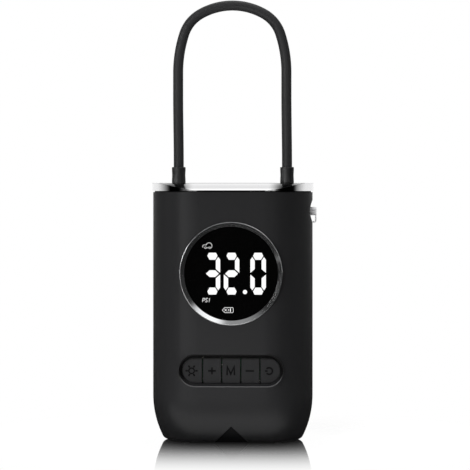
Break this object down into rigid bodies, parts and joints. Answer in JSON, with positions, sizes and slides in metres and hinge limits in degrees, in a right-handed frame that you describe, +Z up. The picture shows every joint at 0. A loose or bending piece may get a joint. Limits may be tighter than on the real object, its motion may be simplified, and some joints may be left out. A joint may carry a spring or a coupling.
{
  "type": "portable tire inflator",
  "caption": "Hand-held battery tyre inflator: tapered rounded housing with a polished crowned top, round display, key row, and a hose arch whose screw-on chuck stows in the top.",
  "frame": {"origin": "centre of the foot pad's underside, on the table", "axes": "+Z up through the hose arch, -Y out of the display, +X towards the stowed chuck and the eyelet"},
  "size_m": [0.0788, 0.047, 0.2104],
  "materials": {
    "shell": "dark grey, fine matte",
    "black_plastic": "black, satin",
    "key_plastic": "dark grey, fine matte",
    "plate_metal": "mirror polished",
    "chrome": "bright",
    "window": "black, gloss",
    "lens": "milky, gloss",
    "hose_rubber": "black, satin",
    "rubber": "black, matte",
    "seal": "red, matte",
    "foam": "closed foam",
    "brass": "satin",
    "steel": "satin",
    "cast_alloy": "cast, matte",
    "white_plastic": "white, satin",
    "board": "green solder mask",
    "cell": "blue wrap",
    "windings": "copper and laminations",
    "magnet": "ferrite, matte",
    "gasket": "fibre sheet"
  },
  "bodies": {
    "housing": {"front_shell": "shell", "rear_shell": "shell", "base_cover": "black_plastic", "foot_pad": "rubber", "top_deck": "black_plastic", "top_plate": "plate_metal", "display_bezel": "chrome", "display_window": "window", "display_gasket": "foam", "display_module": "white_plastic", "key_switches": "white_plastic", "main_board": "board", "board_screws": "steel", "charge_board": "board", "charge_socket": "steel", "cells": "cell", "cell_cradle": "black_plastic", "cell_tabs": "steel", "motor_can": "steel", "motor_magnets": "magnet", "motor_cap": "black_plastic", "motor_screws": "steel", "pump_frame": "cast_alloy", "frame_screws": "steel", "crank_bearing": "steel", "cylinder": "cast_alloy", "head_gasket": "gasket", "valve_plate": "steel", "cylinder_head": "cast_alloy", "head_bolts": "steel", "outlet_nipple": "brass", "pressure_sensor": "white_plastic", "stow_tube": "black_plastic", "hose": "hose_rubber", "fixed_collar": "hose_rubber", "eyelet": "chrome", "lamp_lens": "lens", "lamp_board": "white_plastic", "case_screws": "steel"},
    "lamp_key": {"key_lamp": "key_plastic"},
    "plus_key": {"key_plus": "key_plastic"},
    "mode_key": {"key_mode": "key_plastic"},
    "minus_key": {"key_minus": "key_plastic"},
    "power_key": {"key_power": "key_plastic"},
    "chuck": {"chuck_collar": "hose_rubber", "chuck_stem": "brass", "chuck_grip": "black_plastic", "chuck_seal": "seal"},
    "valve_nut": {"chuck_nut": "brass"},
    "motor_rotor": {"rotor": "windings", "motor_shaft": "steel", "drive_pinion": "brass"},
    "crank": {"crank_gear": "white_plastic", "crank_shaft": "steel", "crank_pin": "steel"},
    "piston_set": {"piston": "cast_alloy", "piston_seal": "rubber", "wrist_pin": "steel"},
    "rod": {"connecting_rod": "cast_alloy", "rod_bush": "brass"}
  },
  "joints": [
    {"name": "press_lamp", "type": "slide", "parent": "housing", "child": "lamp_key", "axis": [0, 1, 0], "range_m": [0, 0.0006], "stiffness_N_per_m": 2000, "springref_m": -0.0002},
    {"name": "press_plus", "type": "slide", "parent": "housing", "child": "plus_key", "axis": [0, 1, 0], "range_m": [0, 0.0006], "stiffness_N_per_m": 2000, "springref_m": -0.0002},
    {"name": "press_mode", "type": "slide", "parent": "housing", "child": "mode_key", "axis": [0, 1, 0], "range_m": [0, 0.0006], "stiffness_N_per_m": 2000, "springref_m": -0.0002},
    {"name": "press_minus", "type": "slide", "parent": "housing", "child": "minus_key", "axis": [0, 1, 0], "range_m": [0, 0.0006], "stiffness_N_per_m": 2000, "springref_m": -0.0002},
    {"name": "press_power", "type": "slide", "parent": "housing", "child": "power_key", "axis": [0, 1, 0], "range_m": [0, 0.0006], "stiffness_N_per_m": 2000, "springref_m": -0.0002},
    {"name": "chuck_pull", "type": "slide", "parent": "housing", "child": "chuck", "axis": [0, 0, 1], "range_m": [0, 0.034], "deforming": ["hose"]},
    {"name": "nut_spin", "type": "hinge", "parent": "chuck", "child": "valve_nut", "pos_m": [0.026, 0, 0.1068], "axis": [0, 0, 1], "continuous": true},
    {"name": "motor_spin", "type": "hinge", "parent": "housing", "child": "motor_rotor", "pos_m": [0.0015, 0.0035, 0.057], "axis": [1, 0, 0], "continuous": true},
    {"name": "crank_spin", "type": "hinge", "parent": "housing", "child": "crank", "pos_m": [-0.019, 0.0035, 0.0732], "axis": [1, 0, 0], "continuous": true},
    {"name": "piston_slide", "type": "slide", "parent": "housing", "child": "piston_set", "axis": [0, 0, 1], "range_m": [-0.011, 0]},
    {"name": "rod_swing", "type": "hinge", "parent": "piston_set", "child": "rod", "pos_m": [-0.024, 0.0035, 0.1007], "axis": [1, 0, 0], "range_deg": [-14.5, 14.5]}
  ],
  "couplings": [
    {"joint": "crank_spin", "follows": "motor_spin", "ratio": -0.28571}
  ]
}
